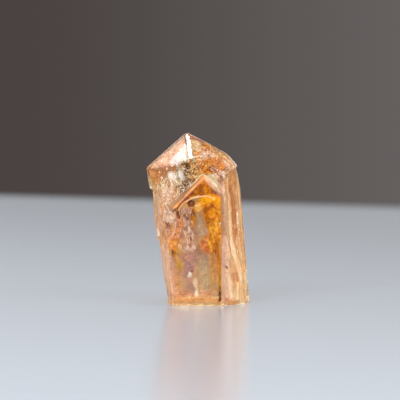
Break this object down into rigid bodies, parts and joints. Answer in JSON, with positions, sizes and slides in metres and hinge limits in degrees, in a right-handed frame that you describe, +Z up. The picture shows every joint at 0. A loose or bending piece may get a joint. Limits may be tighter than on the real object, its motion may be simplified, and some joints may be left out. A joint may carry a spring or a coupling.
{
  "type": "imperial topaz crystal",
  "caption": "Single prismatic topaz crystal with a pointed top, a proud front growth plate, striated sides and a flat broken foot that it stands on.",
  "frame": {"origin": "middle of the crystal's bounding box at the plane of its flat foot", "axes": "+Z up from the foot to the pointed top, +X to the right seen from the front plate, +Y away from the front plate"},
  "size_m": [0.012, 0.0102, 0.0196],
  "materials": {
    "topaz": "clear orange-pink crystal, glassy growth faces with fine lengthwise striation"
  },
  "bodies": {
    "root": {"topaz_crystal": "topaz"}
  },
  "joints": []
}
